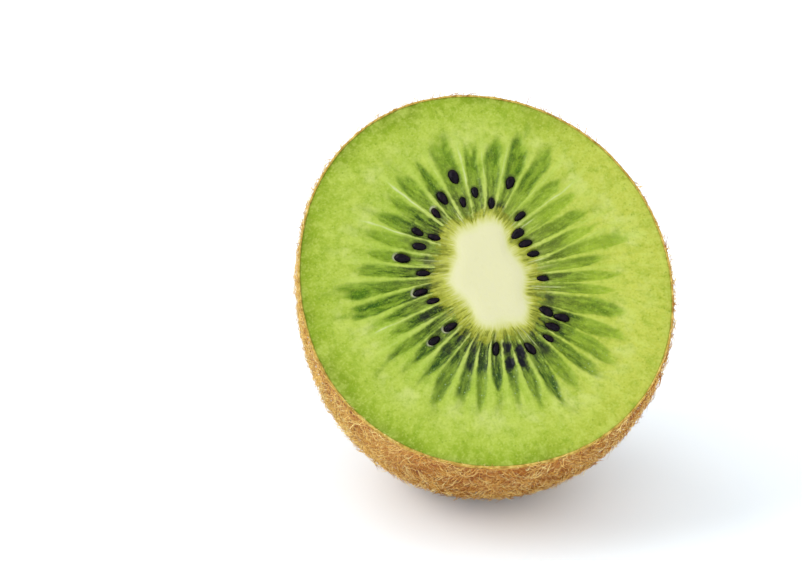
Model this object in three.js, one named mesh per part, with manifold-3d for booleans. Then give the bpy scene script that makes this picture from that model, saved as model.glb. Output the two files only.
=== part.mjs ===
// Half of a kiwi fruit, cut across its middle and lying on its skin with the cut face forward and up.
// Millimetres, +Z up, the cut face looks towards -Y. The origin is the middle of the flat spot on the
// skin that the half rests on.
//
// The fruit is shaped lying flat first: the cut face is the plane z = 0 with its upper edge towards
// +Y, and the dome of skin hangs below it. A clock angle starts at the upper edge and runs clockwise.

import * as THREE from 'three';
import { mergeVertices } from 'three/addons/utils/BufferGeometryUtils.js';
import Module from 'manifold-3d';

const radians = THREE.MathUtils.degToRad;

// The cut face: an oval that leans to the left, pushed out by the shallow lobes of the fruit.
const FACE_LENGTH = 53.1;
const FACE_WIDTH = 48.3;
const FACE_LEAN = radians(-13.4);
const FRUIT_LOBES = [
  { count: 3, height: 0.0096, clock: radians(-13) },
  { count: 4, height: 0.006, clock: radians(46) },
];
const EDGE_ROUNDING = 0.35;

// The dome of skin behind the face. A fullness of 2 is an ellipsoid, more is blunter.
const DOME_DEPTH = 36.5;
const DOME_FULLNESS = 2.2;

// The dry scar at the end of the fruit: a woody ring round a sunken disc. The ring's crest and its
// inner wall are shares of the scar's radius, and the even dome ends at SCAR_REACH of it.
const SCAR_RADIUS = 2.9;
const SCAR_REACH = 1.6;
const SCAR_CREST = 0.78;
const SCAR_INNER = 0.52;
const SCAR_RING_HEIGHT = 0.4;
const SCAR_DISC_DEPTH = 0.5;

// The pale core, an oval with an uneven outline. Its size is the mean of its two half widths.
const CORE_LENGTH = 16;
const CORE_WIDTH = 9.5;
const CORE_LEAN = radians(-14.7);
const CORE_CENTRE = new THREE.Vector2(0.65, 0.5);
const CORE_LOBES = [
  { count: 2, height: 0.17, ray: radians(52) },
  { count: 3, height: 0.31, ray: radians(26) },
  { count: 4, height: 0.22, ray: radians(40) },
  { count: 6, height: 0.46, ray: radians(33) },
];
const CORE_RISE = 0.35;
const CORE_SHOULDER = [0.6, 1.05];

// The seed chambers, long furrows between pale walls that fan out of the core. Each has a mark for how
// far out it reaches, clockwise from the top, from 0 for the shortest to 9 for the longest, and two
// for how far its first wall strays from even spacing, in steps, where 4 is not at all. The first of
// them holds near the core, the second further out, and the walls are even again towards the skin.
const CHAMBERS = 39;
const CHAMBER_REACH = '679944328244588778643679448237953543649';
const WALL_NEAR_CORE = '575200246222167978777997358667721244322';
const WALL_FURTHER_OUT = '544455442322056778767656776664454333332';
const WALL_STEP = 0.1;
const WALL_NEAR = 9;
const WALL_FURTHER = 16;
const WALLS_EVEN_OUT = [18.5, 22];
const SHORTEST_CHAMBER = 14.5;
const LONGEST_CHAMBER = 19.9;
const FIRST_WALL = radians(4);
const LEFT_CROWDING = [radians(6.5), radians(2.5)];
const CHAMBER_DEPTH = 0.38;
const CHAMBER_HEAD = 2.5;
const CHAMBER_TAIL = 4;

// Seeds left showing by the cut, one mark for each chamber, clockwise from the top of the core:
// a digit counts the steps outwards from the core's edge, a dot is a chamber cut between its seeds.
const SEED_ROWS = [
  '538.3111..1..245.4..3....3..34.3642.464',
  '.............5...........6........5...9',
];
const FIRST_SEED = 7;
const SEED_STEP = 0.8;
const SEED_LENGTH = 2.05;
const SEED_WIDTH = 1.2;
const SEED_HEIGHT = 1.2;
const SEED_SHOWING = 0.5;
const SEED_TAPER = 0.35;

// How much one seed differs from the next: its size, its turn, and its place in the chamber.
const SEED_GROWTH = [0.82, 1.16];
const SEED_TURN = [-radians(14), radians(14)];
const SEED_ACROSS = [0.38, 0.62];
const SEED_ALONG = [-0.3, 0.3];

// How the half lies: the outward direction of its cut face climbs by this angle, and the skin
// is pressed flat where it touches the table.
const FACE_CLIMB = radians(45);
const SPOT_DEPTH = 0.4;

// Mesh steps: three round each chamber, then from the middle of the face to the end of the dome.
// CORE_SHARE is the core's share of the way out, and the other steps are shares of the core or flesh.
// The search for the lowest point takes finer steps, round the dome and outwards.
const STEPS_ROUND = 3 * CHAMBERS;
const CORE_SHARE = 0.3;
const CORE_STEPS = [0, 0.35, 0.7, 0.93];
const FLESH_STEPS = [0.02, 0.08, 0.16, 0.26, 0.37, 0.47, 0.56, 0.64, 0.72, 0.84, 0.95];
const DOME_STEPS = 15;
const SEARCH_STEPS = [1 / 360, 1 / 500];

const CORE_SIZE = (CORE_LENGTH + CORE_WIDTH) / 4;
const FOCUS = Math.sqrt(CORE_LENGTH ** 2 - CORE_WIDTH ** 2) / 2;

// A fixed draw between low and high for a whole number, the same on every run.
function draw(number, low, high) {
  const mixed = Math.sin(number * 12.9898) * 43758.5453;
  return low + (high - low) * (mixed - Math.floor(mixed));
}

// Distance from the middle of the cut face to its edge.
function faceRadius(clock) {
  const turned = clock - FACE_LEAN;
  const oval = 1 / Math.hypot(Math.cos(turned) / FACE_LENGTH, Math.sin(turned) / FACE_WIDTH) / 2;
  const lobes = FRUIT_LOBES.map(({ count, height, clock: at }) => height * Math.cos(count * (clock - at)));
  return oval * (1 + lobes[0] + lobes[1]);
}

// The direction of a chamber wall: whole numbers are walls, halves are the middles of chambers.
function rayOf(chamber) {
  const even = FIRST_WALL + 2 * Math.PI * chamber / CHAMBERS;
  return even + LEFT_CROWDING[0] * Math.sin(even) + LEFT_CROWDING[1] * Math.sin(2 * even);
}

// The ray through a place in a chamber, once the walls have strayed from even spacing.
function rayAt(chamber, size) {
  const whole = Math.floor(chamber);
  const [near, far] = [WALL_NEAR_CORE, WALL_FURTHER_OUT].map((row) => {
    const [here, next] = [row[whole % CHAMBERS], row[(whole + 1) % CHAMBERS]];
    return WALL_STEP * (THREE.MathUtils.lerp(Number(here), Number(next), chamber - whole) - 4);
  });
  const outward = THREE.MathUtils.clamp((size - WALL_NEAR) / (WALL_FURTHER - WALL_NEAR), 0, 1);
  const fading = 1 - THREE.MathUtils.smoothstep(size, ...WALLS_EVEN_OUT);
  return rayOf(chamber + THREE.MathUtils.lerp(near, far, outward) * fading);
}

// A point of the cut face on a ray. Rays leave the core as hyperbolas with the core's own focal
// points, and size is the mean of the two half widths of the oval through the point.
function rayPoint(ray, size) {
  const stretch = FOCUS ** 2 / (4 * size);
  const across = (size - stretch) * Math.sin(ray);
  const along = (size + stretch) * Math.cos(ray);
  const point = new THREE.Vector2(across, along);
  return point.rotateAround(new THREE.Vector2(), -CORE_LEAN).add(CORE_CENTRE);
}

function coreSize(ray) {
  const lobes = CORE_LOBES.map(({ count, height, ray: at }) => height * Math.cos(count * (ray - at)));
  return lobes.reduce((size, lobe) => size + lobe, CORE_SIZE);
}

// The size at which a ray meets the edge of the cut face, found by halving.
function edgeSize(ray) {
  let inside = FACE_WIDTH / 4;
  let outside = FACE_LENGTH;
  for (let round = 0; round < 40; round += 1) {
    const middle = (inside + outside) / 2;
    const point = rayPoint(ray, middle);
    if (point.length() < faceRadius(Math.atan2(point.x, point.y))) {
      inside = middle;
    } else {
      outside = middle;
    }
  }
  return inside;
}

// How far the flesh sinks between two walls of a chamber, at a size.
function furrow(chamber, size) {
  const whole = Math.floor(chamber);
  const start = coreSize(rayAt(chamber, CORE_SIZE));
  const end = THREE.MathUtils.lerp(SHORTEST_CHAMBER, LONGEST_CHAMBER, Number(CHAMBER_REACH[whole]) / 9);
  const opening = THREE.MathUtils.smoothstep(size, start, start + CHAMBER_HEAD);
  const closing = 1 - THREE.MathUtils.smoothstep(size, end - CHAMBER_TAIL, end);
  return CHAMBER_DEPTH * Math.sin(Math.PI * (chamber - whole)) ** 2 * opening * closing;
}

// The profile of a plain round half fruit: out over the face, round the edge and along the dome
// to the scar. Radii are shares of the face's radius and heights are millimetres.
function fruitProfile() {
  const core = CORE_STEPS.map((step) => new THREE.Vector2(step * CORE_SHARE, 0));
  const flesh = FLESH_STEPS.map((step) => new THREE.Vector2(THREE.MathUtils.lerp(CORE_SHARE, 1, step), 0));
  const edge = new THREE.Vector2(1 - EDGE_ROUNDING / FACE_WIDTH, 0);
  const dome = [];
  const scarShare = 2 * SCAR_RADIUS / FACE_WIDTH;
  const lastAngle = Math.acos(SCAR_REACH * scarShare);
  for (let step = 0; step <= DOME_STEPS; step += 1) {
    const angle = lastAngle * step / DOME_STEPS;
    dome.push(new THREE.Vector2(Math.cos(angle), domeHeight(Math.cos(angle))));
  }
  const end = -DOME_DEPTH;
  const scar = [
    new THREE.Vector2(scarShare, end),
    new THREE.Vector2(SCAR_CREST * scarShare, end - SCAR_RING_HEIGHT),
    new THREE.Vector2(SCAR_INNER * scarShare, end + SCAR_DISC_DEPTH),
    new THREE.Vector2(0, end + SCAR_DISC_DEPTH),
  ];
  return [...core, ...flesh, edge, ...dome, ...scar];
}

// Height of the dome where its radius is a share of the face's radius.
function domeHeight(share) {
  return -EDGE_ROUNDING - (DOME_DEPTH - EDGE_ROUNDING) * (1 - share ** 2) ** (1 / DOME_FULLNESS);
}

// Moves a vertex of the cut face from the plain round half to its place among core and chambers.
function placeOnFace(share, turn) {
  const chamber = CHAMBERS * turn;
  const coreRay = rayAt(chamber, CORE_SIZE);
  const core = coreSize(coreRay);
  if (share <= CORE_SHARE) {
    const rim = rayPoint(coreRay, core);
    const inward = rim.sub(CORE_CENTRE).multiplyScalar(share / CORE_SHARE).add(CORE_CENTRE);
    const fall = THREE.MathUtils.smoothstep(share / CORE_SHARE, ...CORE_SHOULDER);
    return new THREE.Vector3(inward.x, inward.y, CORE_RISE * (1 - fall));
  }
  const edge = edgeSize(rayOf(chamber));
  const size = THREE.MathUtils.lerp(core, edge, (share - CORE_SHARE) / (1 - CORE_SHARE));
  const place = rayPoint(rayAt(chamber, size), size);
  return new THREE.Vector3(place.x, place.y, -furrow(chamber, size));
}

// Moves a vertex of the dome out to the oval, lobed section of the real fruit. Its direction
// follows the edge of the face, so that the two meshes meet.
function placeOnDome(share, turn, height) {
  const ray = rayOf(CHAMBERS * turn);
  const rim = rayPoint(ray, edgeSize(ray));
  return new THREE.Vector3(rim.x * share, rim.y * share, height);
}

// The bare half: the plain round half turned on a lathe, then every vertex moved to its place.
function halfFruit() {
  const lathe = new THREE.LatheGeometry(fruitProfile(), STEPS_ROUND);
  const position = lathe.attributes.position;
  for (let index = 0; index < position.count; index += 1) {
    const [x, y, z] = [position.getX(index), position.getY(index), position.getZ(index)];
    const share = Math.hypot(x, z);
    const turn = (Math.atan2(x, z) / (2 * Math.PI) + 1) % 1;
    const place = y === 0 ? placeOnFace(share, turn) : placeOnDome(share, turn, y);
    position.setXYZ(index, place.x, place.y, place.z);
  }
  return lathe;
}

// One seed: a drop with its narrow end towards the core, lying along its chamber and half sunk in it.
function seed(row, chamber, steps) {
  const number = 10 * chamber + 5 * row;
  const middle = chamber + draw(number, ...SEED_ACROSS);
  const size = FIRST_SEED + SEED_STEP * (steps + draw(number + 1, ...SEED_ALONG));
  const ray = rayAt(middle, size);
  const here = rayPoint(ray, size);
  const outwards = rayPoint(ray, size + 1).sub(here);
  const growth = draw(number + 2, ...SEED_GROWTH);
  const shape = new THREE.SphereGeometry(0.5, 6, 4);
  const position = shape.attributes.position;
  for (let index = 0; index < position.count; index += 1) {
    const narrowing = 1 + SEED_TAPER * position.getY(index);
    position.setX(index, position.getX(index) * narrowing);
    position.setZ(index, position.getZ(index) * narrowing);
  }
  shape.scale(SEED_WIDTH * growth, SEED_LENGTH * growth, SEED_HEIGHT * growth);
  shape.rotateZ(outwards.angle() - Math.PI / 2 + draw(number + 3, ...SEED_TURN));
  const floor = -furrow(middle, size);
  shape.translate(here.x, here.y, floor + SEED_HEIGHT * growth * (SEED_SHOWING - 0.5));
  return shape;
}

function allSeeds() {
  const seeds = [];
  SEED_ROWS.forEach((marks, row) => {
    [...marks].forEach((mark, chamber) => {
      if (mark !== '.') {
        seeds.push(seed(row, chamber, Number(mark)));
      }
    });
  });
  return seeds;
}

const wasm = await Module();
wasm.setup();

// A closed mesh as a solid: shared vertices are merged and triangles with no width are left out.
function solidOf(geometry) {
  geometry.deleteAttribute('normal');
  geometry.deleteAttribute('uv');
  const merged = mergeVertices(geometry, 1e-5);
  const corners = merged.index.array;
  const kept = [];
  for (let first = 0; first < corners.length; first += 3) {
    const [a, b, c] = corners.subarray(first, first + 3);
    if (a !== b && b !== c && c !== a) {
      kept.push(a, b, c);
    }
  }
  const vertProperties = Float32Array.from(merged.attributes.position.array);
  return new wasm.Manifold(new wasm.Mesh({ numProp: 3, vertProperties, triVerts: Uint32Array.from(kept) }));
}

function geometryOf(solid) {
  const { vertProperties, triVerts } = solid.getMesh();
  const geometry = new THREE.BufferGeometry();
  geometry.setAttribute('position', new THREE.BufferAttribute(vertProperties, 3));
  geometry.setIndex(new THREE.BufferAttribute(triVerts, 1));
  return geometry;
}

// The lowest point of the dome once it is tipped into its resting pose, found by trying a fine grid.
function lowestPoint(tip) {
  const lowest = new THREE.Vector3(0, 0, Infinity);
  for (let turn = 0; turn < 1; turn += SEARCH_STEPS[0]) {
    const rim = placeOnDome(1, turn, 0);
    for (let share = 0; share < 1; share += SEARCH_STEPS[1]) {
      const point = new THREE.Vector3(rim.x * share, rim.y * share, domeHeight(share)).applyMatrix4(tip);
      if (point.z < lowest.z) {
        lowest.copy(point);
      }
    }
  }
  return lowest;
}

// The finished half: seeds fused in, tipped up, its lowest point brought over the origin and the
// skin below the table's surface cut away.
function kiwiHalf() {
  const tip = new THREE.Matrix4().makeRotationX(Math.PI / 2 - FACE_CLIMB);
  const lowest = lowestPoint(tip);
  const drop = new THREE.Vector3(0, 0, SPOT_DEPTH).add(lowest).negate();
  const pose = new THREE.Matrix4().makeTranslation(drop).multiply(tip);
  const parts = [halfFruit(), ...allSeeds()];
  const [half, ...seeds] = parts.map((part) => solidOf(part.applyMatrix4(pose)));
  const table = new THREE.BoxGeometry(FACE_LENGTH, FACE_LENGTH, DOME_DEPTH);
  table.translate(0, 0, -DOME_DEPTH / 2);
  const fused = seeds.reduce((whole, one) => whole.add(one), half);
  return geometryOf(fused.subtract(solidOf(table)));
}

const flesh = new THREE.MeshStandardMaterial({ color: 0xa9c742, roughness: 0.4, metalness: 0 });
const kiwi = new THREE.Mesh(kiwiHalf(), flesh);
kiwi.name = 'kiwi_half';

const part = new THREE.Group();
part.add(kiwi);

export default part;
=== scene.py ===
import math

import bpy
import numpy as np
from mathutils import Matrix, Vector


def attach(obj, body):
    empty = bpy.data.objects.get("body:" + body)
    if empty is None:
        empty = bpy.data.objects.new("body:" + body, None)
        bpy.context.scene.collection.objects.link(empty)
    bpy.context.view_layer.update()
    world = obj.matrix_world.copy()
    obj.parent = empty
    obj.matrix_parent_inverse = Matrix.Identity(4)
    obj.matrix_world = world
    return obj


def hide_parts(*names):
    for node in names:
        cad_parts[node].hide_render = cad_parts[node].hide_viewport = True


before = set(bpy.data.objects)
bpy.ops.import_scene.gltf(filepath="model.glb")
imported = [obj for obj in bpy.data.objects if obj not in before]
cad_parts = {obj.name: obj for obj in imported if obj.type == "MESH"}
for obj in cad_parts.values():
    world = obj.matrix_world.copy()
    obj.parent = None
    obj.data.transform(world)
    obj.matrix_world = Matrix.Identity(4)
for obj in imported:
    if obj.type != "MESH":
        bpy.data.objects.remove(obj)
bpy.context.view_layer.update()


# --------------------------------------------------
# The flesh: moist green pulp round a pale core, cut across with a knife. Thin pale walls fan out of
# the core and part the sunken seed chambers. It is worked out in millimetres with the fruit lying
# flat, the cut face at z = 0 and its upper edge towards +Y, and then tipped into its resting place.
# --------------------------------------------------

MM = 0.001

# The cut face: a leaning oval with lobes, each a count, a share of the radius and a clock angle.
FACE_LENGTH = 53.1
FACE_WIDTH = 48.3
FACE_LEAN = math.radians(-13.4)
FRUIT_LOBES = [(3, 0.0096, math.radians(-13)), (4, 0.006, math.radians(46))]

# The dome of skin behind the face, how it lies, and how deep its flat spot is.
EDGE_ROUNDING = 0.35
DOME_DEPTH = 36.5
DOME_FULLNESS = 2.2
FACE_CLIMB = math.radians(45)
SPOT_DEPTH = 0.4

# The core, with lobes that are each a count, a height and a ray angle.
CORE_LENGTH = 16
CORE_WIDTH = 9.5
CORE_LEAN = math.radians(-14.7)
CORE_CENTRE = (0.65, 0.5)
CORE_LOBES = [(2, 0.17, math.radians(52)), (3, 0.31, math.radians(26)), (4, 0.22, math.radians(40)),
              (6, 0.46, math.radians(33))]
CORE_RISE = 0.35
CORE_SIZE = (CORE_LENGTH + CORE_WIDTH) / 4
FOCUS = math.sqrt(CORE_LENGTH ** 2 - CORE_WIDTH ** 2) / 2

# The seed chambers, with a mark for each, clockwise from the top: how far out it reaches, how pointed
# its outer end is, and how far its first wall strays from even spacing near the core and further out,
# where 4 is not at all.
CHAMBERS = 39
FIRST_WALL = math.radians(4)
LEFT_CROWDING = (math.radians(6.5), math.radians(2.5))
CHAMBER_REACH = "679944328244588778643679448237953543649"
CHAMBER_POINT = "420344441555453545567465678640004664451"
WALL_NEAR_CORE = "575200246222167978777997358667721244322"
WALL_FURTHER_OUT = "544455442322056778767656776664454333332"
WALL_STEP = 0.1
NO_STRAY = 4
WALL_NEAR = 9
WALL_FURTHER = 16
WALLS_EVEN_OUT = (18.5, 22)
SHORTEST_CHAMBER = 14.5
LONGEST_CHAMBER = 19.9
CHAMBER_DEPTH = 0.38
CHAMBER_HEAD = 2.5
CHAMBER_SIDE = (-0.1, 0.7)
CORNER_SHARPNESS = 4
END_FADE = 0.5
END_SLOPE = 0.45
END_ROUNDING = 1.6
RAGGED_END = 1.5
NARROWS_FROM = 11
NARROWING_CURVE = 2.4
TAIL_STRENGTH = 0.38
TAIL_LENGTH = (1.2, 4.2)

# The walls: their thinnest, what they gain for each millimetre further out, how ragged they are, and
# how soft their edges are, more so further out.
WALL_THINNEST = 0.1
WALL_GAIN = 0.026
WALLS_GAIN_FROM = 8
RAGGED_WALL = 0.08
EDGE_SOFT = 0.05
EDGE_SOFTENS = 0.028
SOFTENS_FROM = 9.5

# Fine pale threads leave the core: where each lies across a chamber, how wide it is, how far out it
# fades, and how bright it is.
THREAD_PLACES = [(0.18, 0.4), (0.42, 0.58), (0.6, 0.82)]
THREAD_WIDTH = 0.09
THREAD_ENDS = (7.5, 11.5)
THREAD_SHINE = (-0.5, 0.9)

# How deep the chambers show near the core and further out, and how bright their walls are, each as a
# lowest and a highest draw. They are paler on the right and deepest below, by one share near the core
# and one further out, and the walls are dull at the lower right.
DEEP_NEAR_CORE = (0.58, 0.95)
DEEP_FURTHER_OUT = (0.34, 0.86)
WALL_SHINE = (0.05, 0.75)
DEEP_CHANGES = (11.5, 14.5)
PALE_SIDE = math.radians(75)
PALER_BY = (0.34, 0.22)
DEEP_SIDE = math.radians(190)
DEEPER_BY = (0.2, 0.1)
DULL_SIDE = math.radians(145)
DULLED_BY = 0.85

# Seeds left showing by the cut and seeds just under it, one mark for each chamber, clockwise from the
# top: a digit counts the steps outwards from the first seed's place, a dot is a chamber without one.
SEED_ROWS = [
    "538.3111..1..245.4..3....3..34.3642.464",
    ".............5...........6........5...9",
]
SUNK_ROWS = [
    "..3.........2...5.63..4.6..5....2......",
    "................6.46..7.3..............",
]
FILMED_SEEDS = (25, 29, 32, 36)
DARK_SHADOWS = (18, 19)
SOCKET_DEPTH = 0.18
SOCKET_LIP = 0.08
SUNK_BULGE = 0.1
FIRST_SEED = 7
SEED_STEP = 0.8
SEED_LENGTH = 2.05
SEED_WIDTH = 1.2
SEED_GROWTH = (0.82, 1.16)
SEED_TURN = math.radians(14)
SEED_ACROSS = (0.38, 0.62)
SEED_ALONG = (-0.3, 0.3)

# Low relief of the pulp, as heights, and the rim that rolls over to meet the skin.
COARSE_GRAIN = 0.045
FINE_GRAIN = 0.03
BROAD_WAVES = 0.03
RIM_ROLL = 0.03
RIM_ROLL_WIDTH = 0.5

# The flesh stops inside the skin. Its mesh has rings over the core, the flesh and the hidden dome,
# closest over the chambers, and its points stand closest together at each chamber's walls.
FLESH_INSET = 0.1
ABOVE_TABLE = 0.05
HIDDEN_INSET = 1.2
PLACES_ACROSS = (0, 0.04, 0.08, 0.13, 0.2, 0.28, 0.37, 0.46, 0.54, 0.63, 0.72, 0.8, 0.87, 0.92, 0.96)
CORE_RINGS = 10
CHAMBER_RINGS = 128
CHAMBERS_END = 0.78
OUTER_RINGS = 18
HIDDEN_RINGS = 9


def draw(number, low=0.0, high=1.0):
    """A fixed draw between low and high for a whole number, the same on every run."""
    mixed = np.sin(number * 12.9898) * 43758.5453
    return low + (high - low) * (mixed - np.floor(mixed))


def smoothstep(value, low, high):
    share = np.clip((value - low) / (high - low), 0, 1)
    return share * share * (3 - 2 * share)


def rough(x, y, z=0.0):
    """Smooth lumps between -1 and 1, about one unit across."""
    corner = [np.floor(c) for c in np.broadcast_arrays(x, y, z)]
    inside = [c - low for c, low in zip((x, y, z), corner)]
    weight = [t * t * (3 - 2 * t) for t in inside]
    total = 0
    for i in (0, 1):
        for j in (0, 1):
            for k in (0, 1):
                lump = draw(corner[0] + i + 157 * (corner[1] + j) + 8191 * (corner[2] + k), -1, 1)
                share = [w if on else 1 - w for w, on in zip(weight, (i, j, k))]
                total = total + lump * share[0] * share[1] * share[2]
    return total


def face_radius(clock):
    turned = clock - FACE_LEAN
    oval = 1 / np.hypot(np.cos(turned) / FACE_LENGTH, np.sin(turned) / FACE_WIDTH) / 2
    return oval * (1 + sum(height * np.cos(count * (clock - at)) for count, height, at in FRUIT_LOBES))


def ray_of(chamber):
    even = FIRST_WALL + 2 * np.pi * chamber / CHAMBERS
    return even + LEFT_CROWDING[0] * np.sin(even) + LEFT_CROWDING[1] * np.sin(2 * even)


def ray_at(chamber, size):
    """The ray through a place in a chamber, once the walls have strayed from even spacing."""
    strays = []
    for row in (WALL_NEAR_CORE, WALL_FURTHER_OUT):
        walls = [WALL_STEP * (int(mark) - NO_STRAY) for mark in row + row[0]]
        strays.append(np.interp(chamber % CHAMBERS, np.arange(CHAMBERS + 1), walls))
    near, far = strays
    strayed = near + (far - near) * np.clip((size - WALL_NEAR) / (WALL_FURTHER - WALL_NEAR), 0, 1)
    return ray_of(chamber + strayed * (1 - smoothstep(size, *WALLS_EVEN_OUT)))


def ray_point(ray, size):
    stretch = FOCUS ** 2 / (4 * size)
    across = (size - stretch) * np.sin(ray)
    along = (size + stretch) * np.cos(ray)
    lean = (math.cos(-CORE_LEAN), math.sin(-CORE_LEAN))
    return (across * lean[0] - along * lean[1] + CORE_CENTRE[0],
            across * lean[1] + along * lean[0] + CORE_CENTRE[1])


def core_size(ray):
    return CORE_SIZE + sum(height * np.cos(count * (ray - at)) for count, height, at in CORE_LOBES)


def edge_size(ray):
    inside = np.full_like(ray, FACE_WIDTH / 4)
    outside = np.full_like(ray, FACE_LENGTH)
    for _ in range(40):
        middle = (inside + outside) / 2
        x, y = ray_point(ray, middle)
        within = np.hypot(x, y) < face_radius(np.arctan2(x, y))
        inside = np.where(within, middle, inside)
        outside = np.where(within, outside, middle)
    return inside


def dome_height(share):
    return -EDGE_ROUNDING - (DOME_DEPTH - EDGE_ROUNDING) * (1 - share ** 2) ** (1 / DOME_FULLNESS)


def resting_place():
    """Tips the lying fruit up and brings its lowest point over the origin, in metres."""
    clock, share = np.meshgrid(np.linspace(0, 2 * np.pi, 361), np.linspace(0, 1, 501)[:-1])
    reach = face_radius(clock) * share
    x, y, z = reach * np.sin(clock), reach * np.cos(clock), dome_height(share)
    tip = math.pi / 2 - FACE_CLIMB
    height = y * math.sin(tip) + z * math.cos(tip)
    low = np.unravel_index(np.argmin(height), height.shape)
    lowest = Matrix.Rotation(tip, 4, "X") @ Vector((x[low], y[low], z[low]))
    lift = Matrix.Translation(-lowest - Vector((0, 0, SPOT_DEPTH)))
    return Matrix.Scale(MM, 4) @ lift @ Matrix.Rotation(tip, 4, "X")


LYING = resting_place()


def seeds_of(rows):
    """Where each marked seed lies: its place on the face, outward direction, growth and turn."""
    found = []
    for row, marks in enumerate(rows):
        for chamber, mark in enumerate(marks):
            if mark == ".":
                continue
            number = 10 * chamber + 5 * row
            middle = chamber + draw(number, *SEED_ACROSS)
            size = FIRST_SEED + SEED_STEP * (int(mark) + draw(number + 1, *SEED_ALONG))
            ray = ray_at(middle, size)
            x, y = ray_point(ray, size)
            out_x, out_y = ray_point(ray, size + 1)
            heading = math.atan2(out_y - y, out_x - x) + draw(number + 3, -SEED_TURN, SEED_TURN)
            growth = draw(number + 2, *SEED_GROWTH)
            found.append(dict(x=x, y=y, size=size, chamber=chamber, heading=heading, growth=growth))
    return found


def round_seed(x, y, seed):
    """Distance from a seed's middle as a share of its half size: 1 is its outline."""
    ahead = (x - seed["x"]) * math.cos(seed["heading"]) + (y - seed["y"]) * math.sin(seed["heading"])
    aside = (y - seed["y"]) * math.cos(seed["heading"]) - (x - seed["x"]) * math.sin(seed["heading"])
    return np.hypot(ahead / (SEED_LENGTH / 2), aside / (SEED_WIDTH / 2)) / seed["growth"]


# Rings from the middle of the core out to the edge, as places on the rays.
chamber = np.add.outer(np.arange(CHAMBERS), PLACES_ACROSS).ravel()
core_ray = ray_at(chamber, CORE_SIZE)
edge_ray = ray_of(chamber)
core = core_size(core_ray)
edge = edge_size(edge_ray) - FLESH_INSET
core_share = np.arange(1, CORE_RINGS) / CORE_RINGS
flesh_share = np.concatenate([np.linspace(0, CHAMBERS_END, CHAMBER_RINGS, endpoint=False),
                              np.linspace(CHAMBERS_END, 1, OUTER_RINGS)])
core_rim = np.array(ray_point(core_ray, core))
middle = np.array(CORE_CENTRE)[:, None, None]
core_x, core_y = middle + core_share[None, :, None] * (core_rim[:, None, :] - middle)
size = core + (edge - core) * flesh_share[:, None]
flesh_x, flesh_y = ray_point(ray_at(chamber, size), size)
size = np.vstack([core * core_share[:, None], size])
ray = ray_at(chamber, size)
x = np.vstack([core_x, flesh_x])
y = np.vstack([core_y, flesh_y])


def marks_at(row, number):
    """Reads a row of marks at whole numbers, each as a share of nine."""
    return np.array([int(mark) for mark in row])[number.astype(int) % CHAMBERS] / 9


def towards(number, side):
    """How far a chamber lies towards a clock angle: 1 there, and next to nothing a quarter turn away."""
    return (0.5 + 0.5 * np.cos(ray_of(number) - side)) ** 3


def streaky(per_chamber, length, shift):
    """Lumps drawn out along the rays, so many to a chamber and so long in millimetres."""
    angle = 2 * np.pi * chamber / CHAMBERS
    radius = per_chamber * CHAMBERS / (2 * np.pi)
    return rough(radius * np.sin(angle), radius * np.cos(angle), size / length + shift)


def lumps(across, shift):
    """Smooth lumps over the cut face, so many millimetres across."""
    return rough(x / across, y / across, shift)


# Chambers: distance inwards from the walls and from the chamber's outer end, in millimetres.
unsteady = 0.035 * lumps(2.3, 5) + 0.02 * lumps(0.8, 9)
place = chamber + unsteady * smoothstep(size, 7, 12)
number = np.floor(place)
within = place - number
stretch = FOCUS ** 2 / (4 * size)
speed = np.hypot((size - stretch) * np.cos(ray), (size + stretch) * np.sin(ray))
spacing = speed * (ray_at(chamber + 0.5, size) - ray_at(chamber - 0.5, size))
to_wall = np.minimum(within, 1 - within) * spacing
reach = SHORTEST_CHAMBER + (LONGEST_CHAMBER - SHORTEST_CHAMBER) * marks_at(CHAMBER_REACH, number)
nearest_wall = np.floor(place + 0.5) % CHAMBERS
shine = draw(nearest_wall + 700, *WALL_SHINE) * (1 - DULLED_BY * towards(nearest_wall, DULL_SIDE))
further_out = np.clip(size - WALLS_GAIN_FROM, 0, None)
thin_wall = WALL_GAIN * further_out * (1 + 0.5 * lumps(1.3, 21))
thin_wall = (WALL_THINNEST + thin_wall) * (0.15 + 1.05 * shine)
far_out = np.clip((size - NARROWS_FROM) / (reach - NARROWS_FROM), 0, 1)
narrowing = marks_at(CHAMBER_POINT, number) * far_out ** NARROWING_CURVE
wall = thin_wall + (spacing / 2 - thin_wall) * narrowing
inward = to_wall - wall + RAGGED_WALL * lumps(0.4, 25) + 0.12 * spacing * streaky(4, 3.0, 25)
before_end = reach + END_FADE - END_ROUNDING * (2 * within - 1) ** 2
before_end = before_end + RAGGED_END * streaky(4, 6.0, 33) - size
from_end = np.clip(END_SLOPE * before_end, -9, None)
inside = np.exp(-CORNER_SHARPNESS * inward) + np.exp(-CORNER_SHARPNESS * from_end)
inside = -np.log(inside) / CORNER_SHARPNESS
out_of_core = size - core
opening = smoothstep(out_of_core, 0.1, 1.1)
whole = number % CHAMBERS
paler, deeper = towards(whole, PALE_SIDE), towards(whole, DEEP_SIDE)
deep = draw(whole + 500, *DEEP_NEAR_CORE) - PALER_BY[0] * paler + DEEPER_BY[0] * deeper
deep_outside = draw(whole + 630, *DEEP_FURTHER_OUT) - PALER_BY[1] * paler + DEEPER_BY[1] * deeper
deep = deep + (deep_outside - deep) * smoothstep(size, *DEEP_CHANGES)
soft = EDGE_SOFT + EDGE_SOFTENS * np.clip(size - SOFTENS_FROM, 0, None)
chamber_mask = smoothstep(inside, -soft, 2 * soft) * opening

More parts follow.
